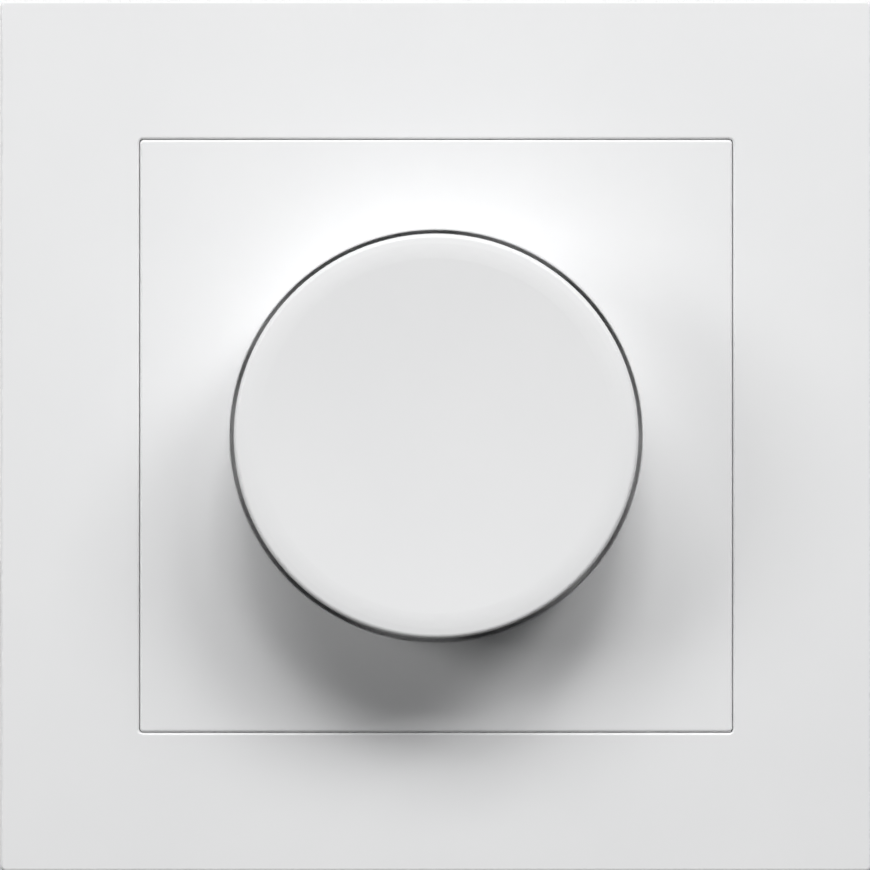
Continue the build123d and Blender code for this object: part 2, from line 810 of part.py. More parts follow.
loop_middle = (choke_radius + choke_bore) / 2
loop_span = choke_radius - choke_bore + 2 * choke_wire
with BuildPart() as choke_winding:
    with BuildSketch(room(board_front)):
        with Locations((0, choke_centre_z)):
            with PolarLocations(loop_middle, choke_turns):
                Rectangle(loop_span, choke_wire)
    extrude(amount=choke_height + 2 * choke_wire)
    with BuildSketch(room(choke_back)):
        with Locations((0, choke_centre_z)):
            Circle(choke_radius)
            Circle(choke_bore, mode=Mode.SUBTRACT)
    extrude(amount=choke_height, mode=Mode.SUBTRACT)
choke_winding.part.label = "choke_winding"
export_step(choke_winding.part, "parts/choke_winding.step")

# Film capacitor
with BuildPart() as film_capacitor:
    with BuildSketch(room(board_front)):
        with Locations((film_centre_x, film_centre_z)):
            Rectangle(film_width, film_length)
    extrude(amount=film_height)
    fillet(film_capacitor.edges().filter_by(Axis.Y), film_corner)
film_capacitor.part.label = "film_capacitor"
export_step(film_capacitor.part, "parts/film_capacitor.step")

# Smoothing capacitor: a can with a beaded foot
with BuildPart() as smoothing_capacitor:
    with BuildSketch(room(board_front)):
        with Locations((can_centre_x, can_centre_z)):
            Circle(can_radius)
    extrude(amount=can_height)
    fillet(front_edges(smoothing_capacitor), can_edge)
smoothing_capacitor.part.label = "smoothing_capacitor"
export_step(smoothing_capacitor.part, "parts/smoothing_capacitor.step")

# Control chip on its legs
with BuildPart() as control_chip:
    with BuildSketch(room(board_front + chip_stand)):
        with Locations((chip_centre_x, chip_centre_z)):
            Rectangle(chip_width, chip_length)
    extrude(amount=chip_height)
control_chip.part.label = "control_chip"
export_step(control_chip.part, "parts/control_chip.step")

with BuildPart() as chip_legs:
    with BuildSketch(room(board_front)):
        with Locations((chip_centre_x, chip_centre_z)):
            with GridLocations(chip_width + chip_leg, chip_leg_pitch, 2, 4):
                Rectangle(chip_leg, chip_leg)
    extrude(amount=chip_stand + chip_height / 2)
chip_legs.part.label = "chip_legs"
export_step(chip_legs.part, "parts/chip_legs.step")

# Power transistors flat against the heat plate, and their leads
transistor_xs = [-transistor_centre_x, transistor_centre_x]
with BuildPart() as power_transistors:
    with BuildSketch(room(heat_back - transistor_thickness)):
        with Locations(*[(x, transistor_centre_z) for x in transistor_xs]):
            Rectangle(transistor_width, transistor_length)
    extrude(amount=transistor_thickness)
power_transistors.part.label = "power_transistors"
export_step(power_transistors.part, "parts/power_transistors.step")

transistor_lead_z = transistor_centre_z - transistor_length / 2 - transistor_lead_reach
transistor_lead_front = heat_back - transistor_thickness / 2
with BuildPart() as transistor_leads:
    with BuildSketch(room(board_front)):
        for x in transistor_xs:
            with Locations((x, transistor_lead_z)):
                with GridLocations(transistor_lead_pitch, 0, 3, 1):
                    Rectangle(transistor_lead, transistor_lead)
    extrude(amount=transistor_lead_front - board_front)
    with BuildSketch(room(transistor_lead_front - transistor_lead)):
        for x in transistor_xs:
            with Locations((x, transistor_lead_z + transistor_lead_reach / 2)):
                with GridLocations(transistor_lead_pitch, 0, 3, 1):
                    Rectangle(transistor_lead, transistor_lead_reach)
    extrude(amount=transistor_lead)
transistor_leads.part.label = "transistor_leads"
export_step(transistor_leads.part, "parts/transistor_leads.step")

# Fuse: a glass tube, its two end caps and the clips that hold them
fuse_axis = board_front + fuse_lift + fuse_radius + fuse_cap_wall
cap_radius = fuse_radius + fuse_cap_wall
with BuildPart() as fuse_tube:
    with BuildSketch(Plane.XY.offset(fuse_centre_z - fuse_length / 2)):
        with Locations((fuse_centre_x, -fuse_axis)):
            Circle(fuse_radius)
            Circle(fuse_bore, mode=Mode.SUBTRACT)
    extrude(amount=fuse_length)
fuse_tube.part.label = "fuse_tube"
export_step(fuse_tube.part, "parts/fuse_tube.step")

with BuildPart() as fuse_caps:
    for cap_foot in (fuse_end_z - fuse_cap, fuse_end_z - fuse_length - 2 * fuse_cap_wall):
        with BuildSketch(Plane.XY.offset(cap_foot)):
            with Locations((fuse_centre_x, -fuse_axis)):
                Circle(cap_radius)
        extrude(amount=fuse_cap)
    with BuildSketch(Plane.XY.offset(fuse_centre_z - fuse_length / 2)):
        with Locations((fuse_centre_x, -fuse_axis)):
            Circle(fuse_radius)
    extrude(amount=fuse_length, mode=Mode.SUBTRACT)
fuse_caps.part.label = "fuse_caps"
export_step(fuse_caps.part, "parts/fuse_caps.step")

clip_outer = cap_radius + clip_wall
clip_inset = (fuse_cap - clip_length) / 2
with BuildPart() as fuse_clips:
    for foot in (fuse_end_z - clip_inset - clip_length, fuse_end_z - fuse_length - 2 * fuse_cap_wall + clip_inset):
        with BuildSketch(Plane.XY.offset(foot)):
            with Locations((fuse_centre_x, -fuse_axis)):
                Circle(clip_outer)
            with Locations((fuse_centre_x, -(fuse_axis - (clip_outer + fuse_lift) / 2))):
                Rectangle(clip_foot_width, clip_outer + fuse_lift)
            with Locations((fuse_centre_x, -fuse_axis)):
                Circle(cap_radius, mode=Mode.SUBTRACT)
            with Locations((fuse_centre_x, -(fuse_axis + clip_outer))):
                Rectangle(clip_mouth, 2 * clip_outer, mode=Mode.SUBTRACT)
            with Locations((fuse_centre_x, -(board_front - clip_outer))):
                Rectangle(4 * clip_outer, 2 * clip_outer, mode=Mode.SUBTRACT)
        extrude(amount=clip_length)
fuse_clips.part.label = "fuse_clips"
export_step(fuse_clips.part, "parts/fuse_clips.step")

# Trimmer for the lowest brightness, with a dial that reaches through the heat plate
dial_front = ring_thickness - dial_sink
with BuildPart() as trimmer_body:
    with BuildSketch(room(board_front)):
        with Locations((trimmer_centre_x, trimmer_centre_z)):
            Rectangle(trimmer_side, trimmer_side)
    extrude(amount=trimmer_height)
    with BuildSketch(room(board_front + trimmer_floor)):
        with Locations((trimmer_centre_x, trimmer_centre_z)):
            Circle(dial_radius + running_gap)
    extrude(amount=trimmer_height - trimmer_floor, mode=Mode.SUBTRACT)
trimmer_body.part.label = "trimmer_body"
export_step(trimmer_body.part, "parts/trimmer_body.step")

with BuildPart() as trimmer_dial:
    with BuildSketch(room(board_front + trimmer_floor + seat_gap)):
        with Locations((trimmer_centre_x, trimmer_centre_z)):
            Circle(dial_radius)
    extrude(amount=trimmer_height - trimmer_floor)
    with BuildSketch(room(board_front + trimmer_height)):
        with Locations((trimmer_centre_x, trimmer_centre_z)):
            Circle(dial_stem_radius)
    extrude(amount=dial_front - board_front - trimmer_height)
    with BuildSketch(room(dial_front - dial_slot)):
        with Locations((trimmer_centre_x, trimmer_centre_z)):
            Rectangle(4 * dial_stem_radius, dial_slot)
    extrude(amount=dial_slot, mode=Mode.SUBTRACT)
trimmer_dial.part.label = "trimmer_dial"
export_step(trimmer_dial.part, "parts/trimmer_dial.step")

# Screws that clamp the support ring, the heat plate and the cup together
with BuildPart() as chassis_screws:
    with BuildSketch(room(ring_thickness - chassis_screw_length)):
        with Locations(*chassis_spots):
            Circle(chassis_screw_radius)
    extrude(amount=chassis_screw_length)
    with BuildSketch(room(ring_thickness)):
        with Locations(*chassis_spots):
            Circle(chassis_head_radius)
    extrude(amount=chassis_head_height)
    fillet(chassis_screws.faces().group_by(Axis.Y)[0].edges(), chassis_head_edge)
    with BuildSketch(room(ring_thickness + chassis_head_height - slot_depth)):
        with Locations(*chassis_spots):
            Rectangle(slot_width, 4 * chassis_head_radius)
    extrude(amount=slot_depth, mode=Mode.SUBTRACT)
chassis_screws.part.label = "chassis_screws"
export_step(chassis_screws.part, "parts/chassis_screws.step")

# Terminals: a strip from the board into each cage
with BuildPart() as terminal_strips:
    with BuildSketch(room(cage_back - tongue_proud)):
        with Locations(*[(x, tongue_z) for x in terminal_xs]):
            Rectangle(tongue_width, tongue_thickness)
    extrude(amount=board_back - cage_back + tongue_proud)
terminal_strips.part.label = "terminal_strips"
export_step(terminal_strips.part, "parts/terminal_strips.step")

# Terminals: a lift cage on a screw, one for each wire
cage_top_z = chamber_top_z - seat_gap
cage_foot_z = chamber_bottom_z + cage_travel + seat_gap
shank_top = tongue_z - tongue_thickness / 2 - seat_gap
head_foot = -cup_height / 2
for index, x in enumerate(terminal_xs):
    with BuildPart() as terminal_cage:
        with BuildSketch(room(cage_back)):
            with Locations((x, (cage_top_z + cage_foot_z) / 2)):
                Rectangle(cage_width, cage_top_z - cage_foot_z)
            with Locations((x, (cage_top_z - cage_top + cage_foot_z + cage_foot) / 2)):
                Rectangle(
                    cage_width - 2 * cage_side,
                    cage_top_z - cage_top - cage_foot_z - cage_foot,
                    mode=Mode.SUBTRACT,
                )
        extrude(amount=cage_depth)
        with BuildSketch(Plane.XY.offset(cage_foot_z)):
            with Locations((x, -cage_middle)):
                Circle(terminal_screw_radius + running_gap)
        extrude(amount=cage_foot, mode=Mode.SUBTRACT)
    terminal_cage.part.label = f"terminal_cage_{index + 1}"
    export_step(terminal_cage.part, f"parts/terminal_cage_{index + 1}.step")

    with BuildPart() as terminal_screw:
        with BuildSketch(Plane.XY.offset(head_foot)):
            with Locations((x, -cage_middle)):
                Circle(terminal_head_radius)
        extrude(amount=terminal_head_height)
        with BuildSketch(Plane.XY.offset(head_foot)):
            with Locations((x, -cage_middle)):
                Circle(terminal_screw_radius)
        extrude(amount=shank_top - head_foot)
        with BuildSketch(Plane.XY.offset(head_foot)):
            with Locations((x, -cage_middle)):
                Rectangle(slot_width, 4 * terminal_head_radius)
        extrude(amount=slot_depth, mode=Mode.SUBTRACT)
    terminal_screw.part.label = f"terminal_screw_{index + 1}"
    export_step(terminal_screw.part, f"parts/terminal_screw_{index + 1}.step")

# Wall claws: each screw pulls a nut, and the nut drives a claw out along the cup's ramps
nut_x = recess_x + seat_step
claw_back = claw_nut_back + claw_nut_height + seat_gap
claw_front = claw_back + claw_thickness
for side, name in ((-1, "left"), (1, "right")):
    with BuildPart() as claw_screw:
        with BuildSketch(room(ring_thickness)):
            with Locations((side * claw_screw_x, 0)):
                Circle(claw_head_radius)
        extrude(amount=claw_head_height)
        with BuildSketch(room(ring_thickness - claw_screw_length)):
            with Locations((side * claw_screw_x, 0)):
                Circle(claw_screw_radius)
        extrude(amount=claw_screw_length)
        with BuildSketch(room(ring_thickness + claw_head_height - slot_depth)):
            with Locations((side * claw_screw_x, 0)):
                Rectangle(slot_width, 4 * claw_head_radius)
        extrude(amount=slot_depth, mode=Mode.SUBTRACT)
    claw_screw.part.label = f"claw_screw_{name}"
    export_step(claw_screw.part, f"parts/claw_screw_{name}.step")

    with BuildPart() as claw_nut:
        with BuildSketch(room(claw_nut_back)):
            with Locations((side * (nut_x + claw_nut_depth / 2), 0)):
                Rectangle(claw_nut_depth, claw_nut_width)
            with Locations((side * claw_screw_x, 0)):
                Circle(claw_screw_radius + running_gap, mode=Mode.SUBTRACT)
        extrude(amount=claw_nut_height)
    claw_nut.part.label = f"claw_nut_{name}"
    export_step(claw_nut.part, f"parts/claw_nut_{name}.step")

    with BuildPart() as claw:
        with BuildSketch(room(claw_back)):
            with Locations((side * (nut_x + claw_leg_x) / 2, 0)):
                Rectangle(claw_leg_x - nut_x, 2 * claw_half_width)
            with Locations((side * (nut_x + claw_leg_x - 2 * claw_thickness) / 2, 0)):
                Rectangle(
                    claw_leg_x - nut_x - 2 * claw_thickness,
                    2 * (claw_screw_radius + running_gap + slot_room),
                    mode=Mode.SUBTRACT,
                )
            with Locations((side * recess_x, 0)):
                Rectangle(2 * lug_step, 2 * claw_half_width, mode=Mode.SUBTRACT)
            prong_middle = (claw_prong + claw_screw_radius + running_gap + slot_room) / 2
            prong_width = claw_prong - claw_screw_radius - running_gap - slot_room
            prong_end = recess_x + lug_step + claw_thickness
            with Locations(
                (side * (nut_x + prong_end) / 2, -prong_middle),
                (side * (nut_x + prong_end) / 2, prong_middle),
            ):
                Rectangle(prong_end - nut_x, prong_width)
        extrude(amount=claw_thickness)
        with BuildSketch(room(claw_leg_back)):
            with Locations((side * (claw_leg_x - claw_thickness / 2), 0)):
                Rectangle(claw_thickness, 2 * claw_half_width)
        extrude(amount=claw_back - claw_leg_back)
        outer_bend = claw.edges().filter_by(Axis.Z).group_by(Axis.Y)[0].sort_by(Axis.X)
        fillet(outer_bend[-1] if side > 0 else outer_bend[0], claw_bend)
        # Teeth along the outside of the leg
        for tooth in range(claw_tooth_count):
            tooth_foot = claw_leg_back + tooth * claw_tooth_pitch
            with BuildSketch(Plane.XY.offset(-claw_half_width)):
                with BuildLine():
                    Polyline(
                        (side * claw_leg_x, -tooth_foot),
                        (side * (claw_leg_x + claw_tooth), -(tooth_foot + claw_tooth / 2)),
                        (side * claw_leg_x, -(tooth_foot + claw_tooth_pitch - claw_tooth_land)),
                        close=True,
                    )
                make_face()
            extrude(amount=2 * claw_half_width)
    claw.part.label = f"claw_{name}"
    export_step(claw.part, f"parts/claw_{name}.step")
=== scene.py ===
import math

import bmesh
import bpy
import numpy as np
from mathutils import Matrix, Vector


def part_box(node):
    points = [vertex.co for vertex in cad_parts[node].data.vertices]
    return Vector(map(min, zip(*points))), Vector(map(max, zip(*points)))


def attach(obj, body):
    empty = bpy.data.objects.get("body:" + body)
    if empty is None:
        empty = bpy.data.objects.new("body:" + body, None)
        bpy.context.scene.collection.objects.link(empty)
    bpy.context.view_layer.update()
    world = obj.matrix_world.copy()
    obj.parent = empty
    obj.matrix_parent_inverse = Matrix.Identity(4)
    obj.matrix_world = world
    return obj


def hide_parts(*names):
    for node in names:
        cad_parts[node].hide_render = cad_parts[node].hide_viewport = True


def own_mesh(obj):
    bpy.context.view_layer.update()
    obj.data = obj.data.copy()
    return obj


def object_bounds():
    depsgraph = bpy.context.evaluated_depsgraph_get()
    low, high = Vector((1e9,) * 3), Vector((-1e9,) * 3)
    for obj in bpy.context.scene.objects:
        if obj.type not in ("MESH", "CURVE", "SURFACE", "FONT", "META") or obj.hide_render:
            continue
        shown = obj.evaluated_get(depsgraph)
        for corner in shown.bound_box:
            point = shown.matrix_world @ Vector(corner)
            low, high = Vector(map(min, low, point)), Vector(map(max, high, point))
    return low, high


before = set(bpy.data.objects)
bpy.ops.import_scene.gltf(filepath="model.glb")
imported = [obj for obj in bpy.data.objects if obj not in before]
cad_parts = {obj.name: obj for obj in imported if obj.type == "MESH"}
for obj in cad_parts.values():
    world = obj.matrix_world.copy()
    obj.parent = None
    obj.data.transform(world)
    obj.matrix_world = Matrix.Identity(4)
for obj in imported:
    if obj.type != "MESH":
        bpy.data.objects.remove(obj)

cad_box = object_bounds()
scene = bpy.context.scene
scene.view_settings.view_transform = "Standard"

# Camera
# The cover fills the square picture, seen square on from a little over a metre with a long lens.
# The object's middle lies about one pixel right of and below the picture's middle.
picture_px = 870
px_per_m = 10770
object_right_px = 1.1
object_down_px = 0.95
sensor_mm = 36.0
cover_front_m = -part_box("cover_frame")[0][1]
camera_distance_m = 1.19
camera_data = bpy.data.cameras.new("camera")
camera_data.sensor_width = sensor_mm
camera_data.lens = sensor_mm * camera_distance_m / (picture_px / px_per_m)
camera_data.clip_start = 0.01
camera_data.clip_end = 20.0
camera = bpy.data.objects.new("camera", camera_data)
camera.location = (
    -object_right_px / px_per_m,
    -cover_front_m - camera_distance_m,
    object_down_px / px_per_m,
)
camera.rotation_euler = (math.radians(90), 0, 0)
scene.collection.objects.link(camera)
scene.camera = camera

# Floor and studio light
# A pale matt floor lies just under the cover. It throws little light back up, as the photograph
# has no floor near. Soft lamps in front throw the knob's two soft shadows, and two behind, which
# reach no front face, light the back.
floor_drop_m = 0.0005
floor_reach_m = 3.0
floor_mesh = bpy.data.meshes.new("studio_floor")
floor_z = float(cad_box[0][2]) - floor_drop_m
floor_corners = [
    (x * floor_reach_m, y * floor_reach_m, floor_z) for x, y in ((-1, -1), (1, -1), (1, 1), (-1, 1))
]
floor_mesh.from_pydata(floor_corners, [], [(0, 1, 2, 3)])
studio_floor = bpy.data.objects.new("studio_floor", floor_mesh)
scene.collection.objects.link(studio_floor)


def add_node(tree, kind, inputs=None, **options):
    """Adds a shader node, sets its options, and fills or links its inputs by name or place."""
    made = tree.nodes.new(kind)
    for key, value in options.items():
        setattr(made, key, value)
    for key, value in (inputs or {}).items():
        if isinstance(value, bpy.types.NodeSocket):
            tree.links.new(value, made.inputs[key])
        else:
            made.inputs[key].default_value = value
    return made


floor_paint = bpy.data.materials.new("studio_floor")
floor_paint.use_nodes = True
floor_tree = floor_paint.node_tree
floor_place = add_node(floor_tree, "ShaderNodeTexCoord")
floor_cloud = add_node(
    floor_tree,
    "ShaderNodeTexNoise",
    {"Vector": floor_place.outputs["Object"], "Scale": 6.0},
)
floor_shade = add_node(floor_tree, "ShaderNodeValToRGB", {"Fac": floor_cloud.outputs["Fac"]})
for spot, grey in zip(floor_shade.color_ramp.elements, (0.80, 0.84)):
    spot.color = (grey, grey, grey, 1)
bounce_grey = 0.03
floor_rays = add_node(floor_tree, "ShaderNodeLightPath")
floor_seen = add_node(
    floor_tree,
    "ShaderNodeMix",
    {
        0: floor_rays.outputs["Is Diffuse Ray"],
        6: floor_shade.outputs["Color"],
        7: (bounce_grey, bounce_grey, bounce_grey, 1),
    },
    data_type="RGBA",
)
floor_shader = floor_tree.nodes["Principled BSDF"]
floor_shader.inputs["Roughness"].default_value = 0.9
floor_shader.inputs["Specular IOR Level"].default_value = 0.0
floor_tree.links.new(floor_seen.outputs[2], floor_shader.inputs["Base Color"])
floor_mesh.materials.append(floor_paint)

# The camera and mirrored or transmitted rays see a plain white room, and the rest a faint sky
world = bpy.data.worlds.new("white_room")
scene.world = world
world.use_nodes = True
world_tree = world.node_tree
room_light = world_tree.nodes["Background"]
room_light.inputs["Color"].default_value = (0.6, 0.8, 1, 1)
room_light.inputs["Strength"].default_value = 0.02
seen_white = add_node(
    world_tree,
    "ShaderNodeBackground",
    {"Color": (1, 1, 1, 1), "Strength": 1.0},
)
rays = add_node(world_tree, "ShaderNodeLightPath")
camera_or_glossy = add_node(
    world_tree,
    "ShaderNodeMath",
    {0: rays.outputs["Is Camera Ray"], 1: rays.outputs["Is Glossy Ray"]},
    operation="MAXIMUM",
)
seen_rays = add_node(
    world_tree,
    "ShaderNodeMath",
    {0: camera_or_glossy.outputs[0], 1: rays.outputs["Is Transmission Ray"]},
    operation="MAXIMUM",
)
room_mix = add_node(
    world_tree,
    "ShaderNodeMixShader",
    {0: seen_rays.outputs[0], 1: room_light.outputs[0], 2: seen_white.outputs[0]},
)
world_tree.links.new(room_mix.outputs[0], world_tree.nodes["World Output"].inputs["Surface"])

# Each lamp: angle in degrees round the view axis, from the right, tilt in degrees off the view
# axis, side in metres and power in watts
lamp_distance_m = 1.1
lamp_plan = {
    "lamp_above_front": (88, 36, 0.32, 3.58),
    "lamp_above": (99, 47, 0.3, 1.62),
    "lamp_upper_left": (115, 50, 0.26, 1.42),
    "lamp_left": (165, 50, 0.4, 3.0),
    "lamp_upper_right": (75, 50, 0.26, 1.82),
    "lamp_right": (55, 43, 0.26, 1.97),
    "lamp_far_right": (45, 53, 0.3, 2.36),
    "lamp_behind_right": (20, 130, 0.8, 7.5),
    "lamp_behind_left": (160, 130, 0.8, 7.5),
}
for lamp_name, (turn, tilt, side_m, power_w) in lamp_plan.items():
    lamp_data = bpy.data.lights.new(lamp_name, "AREA")
    lamp_data.shape = "SQUARE"
    lamp_data.size = side_m
    lamp_data.energy = power_w
    lamp = bpy.data.objects.new(lamp_name, lamp_data)
    out = math.sin(math.radians(tilt)) * lamp_distance_m
    lamp.location = (
        out * math.cos(math.radians(turn)),
        -math.cos(math.radians(tilt)) * lamp_distance_m,
        out * math.sin(math.radians(turn)),
    )
    lamp.rotation_euler = (-lamp.location).to_track_quat("-Z", "Y").to_euler()
    scene.collection.objects.link(lamp)

# Cover frame, centre plate and knob
# White thermoplastic, moulded in polished steel tools: a smooth satin gloss with a very faint
# waviness, no grain that shows, and the least mottling of the white where the melt met.


def pattern_group(name, inputs):
    """Makes an empty shader node group with float inputs (name, value), a height and a mottle."""
    group = bpy.data.node_groups.new(name, "ShaderNodeTree")
    for label, value in inputs:
        socket = group.interface.new_socket(label, in_out="INPUT", socket_type="NodeSocketFloat")
        socket.default_value = value
    for label in ("Height", "Mottle"):
        group.interface.new_socket(label, in_out="OUTPUT", socket_type="NodeSocketFloat")
    return group, add_node(group, "NodeGroupInput"), add_node(group, "NodeGroupOutput")


moulded_skin, skin_in, skin_out = pattern_group(
    "moulded_skin", [("Grain", 3000.0), ("Wave", 250.0), ("Grain Share", 0.3)]
)
skin_place = add_node(moulded_skin, "ShaderNodeTexCoord")
skin_grain = add_node(
    moulded_skin,
    "ShaderNodeTexNoise",
    {"Vector": skin_place.outputs["Object"], "Scale": skin_in.outputs["Grain"], "Detail": 3.0},
)
skin_wave = add_node(
    moulded_skin,
    "ShaderNodeTexNoise",
    {"Vector": skin_place.outputs["Object"], "Scale": skin_in.outputs["Wave"], "Detail": 1.0},
)
skin_blend = add_node(
    moulded_skin,
    "ShaderNodeMix",
    {0: skin_in.outputs["Grain Share"], 2: skin_wave.outputs["Fac"], 3: skin_grain.outputs["Fac"]},
)
skin_cloud = add_node(
    moulded_skin,
    "ShaderNodeTexNoise",
    {"Vector": skin_place.outputs["Object"], "Scale": 45.0, "Detail": 4.0, "Roughness": 0.6},
)
moulded_skin.links.new(skin_blend.outputs[0], skin_out.inputs["Height"])
moulded_skin.links.new(skin_cloud.outputs["Fac"], skin_out.inputs["Mottle"])


mottle_start, mottle_end = 0.3, 0.7


def patterned(name, group, values, colours, gloss, bump_m, metal=0.0):
    """A material whose colour and roughness follow a group's mottle, and whose bump its height.

    values fills the group's inputs, colours and gloss are the pairs of colours and roughnesses at
    the mottle's start and end, and bump_m is the depth of the relief in metres.
    """
    made = bpy.data.materials.new(name)
    made.use_nodes = True
    tree = made.node_tree
    shader = tree.nodes["Principled BSDF"]
    source = tree.nodes.new("ShaderNodeGroup")
    source.node_tree = group
    for key, value in values.items():
        source.inputs[key].default_value = value
    tint = add_node(tree, "ShaderNodeValToRGB", {"Fac": source.outputs["Mottle"]})
    for spot, stop, colour in zip(tint.color_ramp.elements, (mottle_start, mottle_end), colours):
        spot.position = stop
        spot.color = (*colour, 1)
    sheen = add_node(
        tree,
        "ShaderNodeMapRange",
        {
            "Value": source.outputs["Mottle"],
            "From Min": mottle_start,
            "From Max": mottle_end,
            "To Min": gloss[0],
            "To Max": gloss[1],
        },
    )
    relief = add_node(
        tree,
        "ShaderNodeBump",
        {"Height": source.outputs["Height"], "Distance": bump_m, "Strength": 1.0},
    )
    tree.links.new(tint.outputs["Color"], shader.inputs["Base Color"])
    tree.links.new(sheen.outputs["Result"], shader.inputs["Roughness"])
    tree.links.new(relief.outputs["Normal"], shader.inputs["Normal"])
    shader.inputs["Metallic"].default_value = metal
    return made


def dress(material, *nodes):
    """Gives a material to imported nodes."""
    for label in nodes:
        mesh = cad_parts[label].data
        mesh.materials.clear()
        mesh.materials.append(material)


white_plastic = patterned(
    "white_plastic",
    moulded_skin,
    {"Grain": 4200.0, "Wave": 320.0, "Grain Share": 0.25},
    colours=((0.822, 0.824, 0.828), (0.838, 0.839, 0.841)),
    gloss=(0.30, 0.38),
    bump_m=2e-6,
)
white_shader = white_plastic.node_tree.nodes["Principled BSDF"]
white_shader.inputs["IOR"].default_value = 1.49
white_shader.inputs["Specular IOR Level"].default_value = 0.3
dress(white_plastic, "cover_frame", "centre_plate", "knob")

# Cup and the cases of the potentiometer and the switch
# Dark glass-filled thermoset, pressed in a blasted tool: matt, with a short grain, pale specks of
# filler and faint flow clouds.
filled_skin, filled_in, filled_out = pattern_group(
    "filled_skin", [("Grain", 2600.0), ("Speck", 5200.0)]
)
filled_place = add_node(filled_skin, "ShaderNodeTexCoord")
filled_grain = add_node(
    filled_skin,
    "ShaderNodeTexNoise",
    {"Vector": filled_place.outputs["Object"], "Scale": filled_in.outputs["Grain"], "Detail": 5.0},
)
filled_speck = add_node(
    filled_skin,
    "ShaderNodeTexVoronoi",
    {"Vector": filled_place.outputs["Object"], "Scale": filled_in.outputs["Speck"]},
)
filled_cloud = add_node(
    filled_skin,
    "ShaderNodeTexNoise",
    {"Vector": filled_place.outputs["Object"], "Scale": 70.0, "Detail": 3.0, "Distortion": 0.8},
)
filled_mix = add_node(
    filled_skin,
    "ShaderNodeMath",
    {0: filled_cloud.outputs["Fac"], 1: filled_speck.outputs["Distance"]},
    operation="SUBTRACT",
)
filled_lift = add_node(
    filled_skin,
    "ShaderNodeMath",
    {0: filled_mix.outputs[0], 1: 0.45},
    operation="ADD",
)
filled_skin.links.new(filled_grain.outputs["Fac"], filled_out.inputs["Height"])
filled_skin.links.new(filled_lift.outputs[0], filled_out.inputs["Mottle"])
dark_thermoset = patterned(
    "dark_thermoset",
    filled_skin,
    {},
    colours=((0.012, 0.012, 0.014), (0.032, 0.032, 0.036)),
    gloss=(0.48, 0.62),
    bump_m=3e-5,
)
dress(dark_thermoset, "rear_cup", "potentiometer_case", "switch_case")

# Support ring, claws, nuts, cages
# Cold-rolled steel, punched and bent, with bright zinc: fine rolling lines, a soft spangle and
# the slight blue and straw tints of the passivation.
plated_sheet, plated_in, plated_out = pattern_group(
    "plated_sheet", [("Lines", 900.0), ("Stretch", 0.06), ("Cloud", 160.0)]
)
plated_place = add_node(plated_sheet, "ShaderNodeTexCoord")
plated_stretch = add_node(
    plated_sheet,
    "ShaderNodeCombineXYZ",
    {0: plated_in.outputs["Stretch"], 1: 1.0, 2: 1.0},
)
plated_lie = add_node(
    plated_sheet,
    "ShaderNodeVectorMath",
    {0: plated_place.outputs["Object"], 1: plated_stretch.outputs[0]},
    operation="MULTIPLY",
)
plated_lines = add_node(
    plated_sheet,
    "ShaderNodeTexNoise",
    {
        "Vector": plated_lie.outputs[0],
        "Scale": plated_in.outputs["Lines"],
        "Detail": 6.0,
        "Roughness": 0.65,
    },
)
plated_cloud = add_node(
    plated_sheet,
    "ShaderNodeTexNoise",
    {
        "Vector": plated_place.outputs["Object"],
        "Scale": plated_in.outputs["Cloud"],
        "Detail": 5.0,
        "Distortion": 0.4,
    },
)
plated_sheet.links.new(plated_lines.outputs["Fac"], plated_out.inputs["Height"])
plated_sheet.links.new(plated_cloud.outputs["Fac"], plated_out.inputs["Mottle"])
zinc_steel = patterned(
    "zinc_steel",
    plated_sheet,
    {},
    colours=((0.56, 0.575, 0.60), (0.64, 0.64, 0.625)),
    gloss=(0.29, 0.38),
    bump_m=6e-6,
    metal=1.0,
)
dress(
    zinc_steel,
    "support_ring",
    "plate_nut",
    "bush_nut",
    "claw_nut_left",
    "claw_nut_right",
    "claw_left",
    "claw_right",
    "terminal_cage_1",
    "terminal_cage_2",
    "terminal_cage_3",
)

# Heat plate
# Soft aluminium sheet, blanked and left bare: broad rolling lines, a dull satin and light scuffs.
plate_aluminium = patterned(
    "plate_aluminium",
    plated_sheet,
    {"Lines": 600.0, "Stretch": 0.03, "Cloud": 90.0},
    colours=((0.68, 0.69, 0.71), (0.78, 0.79, 0.80)),
    gloss=(0.34, 0.46),
    bump_m=1.2e-5,
    metal=1.0,
)
dress(plate_aluminium, "heat_plate")

# Bush, shaft, contacts and spring parts
# Turned and stamped brass, nickel on the shaft and the fuse caps, tin on the leads, and hard
# steel for the clips and the return spring. Each is bright, with tool lines and faint stains.
brass = patterned(
    "brass",
    plated_sheet,
    {"Lines": 1600.0, "Stretch": 1.0, "Cloud": 260.0},
    colours=((0.52, 0.36, 0.12), (0.66, 0.49, 0.20)),
    gloss=(0.22, 0.36),
    bump_m=6e-6,
    metal=1.0,
)
dress(brass, "bush", "switch_contacts", "terminal_strips", "fuse_clips")
nickel_plate = patterned(
    "nickel_plate",
    plated_sheet,
    {"Lines": 2000.0, "Stretch": 1.0, "Cloud": 220.0},
    colours=((0.56, 0.53, 0.47), (0.66, 0.63, 0.58)),
    gloss=(0.16, 0.26),
    bump_m=4e-6,
    metal=1.0,
)
dress(nickel_plate, "shaft", "fuse_caps")
tinned_lead = patterned(
    "tinned_lead",
    plated_sheet,
    {"Lines": 2400.0, "Stretch": 1.0, "Cloud": 500.0},
    colours=((0.58, 0.58, 0.57), (0.70, 0.70, 0.69)),
    gloss=(0.28, 0.44),
    bump_m=6e-6,
    metal=1.0,
)
dress(tinned_lead, "potentiometer_leads", "chip_legs", "transistor_leads")
